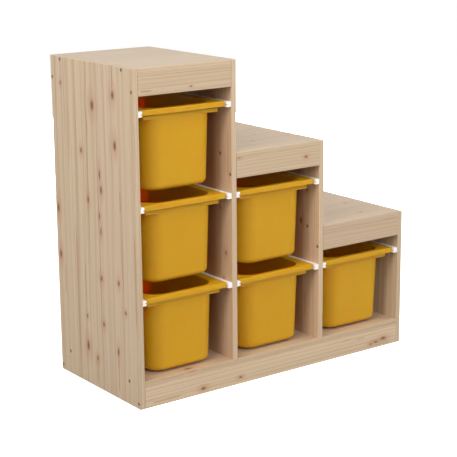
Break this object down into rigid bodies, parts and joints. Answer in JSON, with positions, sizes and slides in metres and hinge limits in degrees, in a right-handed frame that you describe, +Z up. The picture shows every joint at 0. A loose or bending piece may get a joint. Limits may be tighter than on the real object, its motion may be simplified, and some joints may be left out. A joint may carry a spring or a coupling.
{
  "type": "toy storage organizer with bins",
  "caption": "Stair-step toy storage frame of solid pine with columns of falling height; open-topped plastic bins slide out forwards on white plastic runners.",
  "frame": {"origin": "on the floor, under the middle of the frame's width and depth", "axes": "+X along the front from the tall column to the low one, +Y from the front to the back, +Z up"},
  "size_m": [0.94, 0.42, 0.91],
  "materials": {
    "pine": "light stained and lacquered, satin",
    "bin_plastic": "moulded polypropylene, mustard yellow, soft sheen",
    "runner_plastic": "moulded white plastic",
    "screw_steel": "zinc-plated steel",
    "dowel_wood": "plain beech"
  },
  "bodies": {
    "frame": {"apron_low": "pine", "apron_middle": "pine", "apron_tall": "pine", "bottom_shelf": "pine", "divider_middle": "pine", "divider_tall": "pine", "dowels_divider_middle": "dowel_wood", "dowels_divider_tall": "dowel_wood", "dowels_side_panel_left": "dowel_wood", "dowels_side_panel_right": "dowel_wood", "dowels_under_dividers": "dowel_wood", "plinth_front": "pine", "plinth_rear": "pine", "rail_dowels_base": "dowel_wood", "rail_dowels_low": "dowel_wood", "rail_dowels_middle": "dowel_wood", "rail_dowels_tall": "dowel_wood", "rear_rail_low": "pine", "rear_rail_middle": "pine", "rear_rail_tall": "pine", "runner_low_left": "runner_plastic", "runner_low_right": "runner_plastic", "runner_middle_bottom_left": "runner_plastic", "runner_middle_bottom_right": "runner_plastic", "runner_middle_top_left": "runner_plastic", "runner_middle_top_right": "runner_plastic", "runner_tall_bottom_left": "runner_plastic", "runner_tall_bottom_right": "runner_plastic", "runner_tall_middle_left": "runner_plastic", "runner_tall_middle_right": "runner_plastic", "runner_tall_top_left": "runner_plastic", "runner_tall_top_right": "runner_plastic", "screws_divider_middle": "screw_steel", "screws_divider_tall": "screw_steel", "screws_side_panel_left": "screw_steel", "screws_side_panel_right": "screw_steel", "screws_under_dividers": "screw_steel", "side_panel_left": "pine", "side_panel_right": "pine", "top_board_low": "pine", "top_board_middle": "pine", "top_board_tall": "pine"},
    "bin_tall_bottom": {"bin_tall_bottom": "bin_plastic"},
    "bin_tall_middle": {"bin_tall_middle": "bin_plastic"},
    "bin_tall_top": {"bin_tall_top": "bin_plastic"},
    "bin_middle_bottom": {"bin_middle_bottom": "bin_plastic"},
    "bin_middle_top": {"bin_middle_top": "bin_plastic"},
    "bin_low": {"bin_low": "bin_plastic"}
  },
  "joints": [
    {"name": "slide_tall_bottom", "type": "slide", "parent": "frame", "child": "bin_tall_bottom", "axis": [0, -1, 0], "range_m": [0, 0.45]},
    {"name": "slide_tall_middle", "type": "slide", "parent": "frame", "child": "bin_tall_middle", "axis": [0, -1, 0], "range_m": [0, 0.45]},
    {"name": "slide_tall_top", "type": "slide", "parent": "frame", "child": "bin_tall_top", "axis": [0, -1, 0], "range_m": [0, 0.45]},
    {"name": "slide_middle_bottom", "type": "slide", "parent": "frame", "child": "bin_middle_bottom", "axis": [0, -1, 0], "range_m": [0, 0.45]},
    {"name": "slide_middle_top", "type": "slide", "parent": "frame", "child": "bin_middle_top", "axis": [0, -1, 0], "range_m": [0, 0.45]},
    {"name": "slide_low", "type": "slide", "parent": "frame", "child": "bin_low", "axis": [0, -1, 0], "range_m": [0, 0.45]}
  ]
}
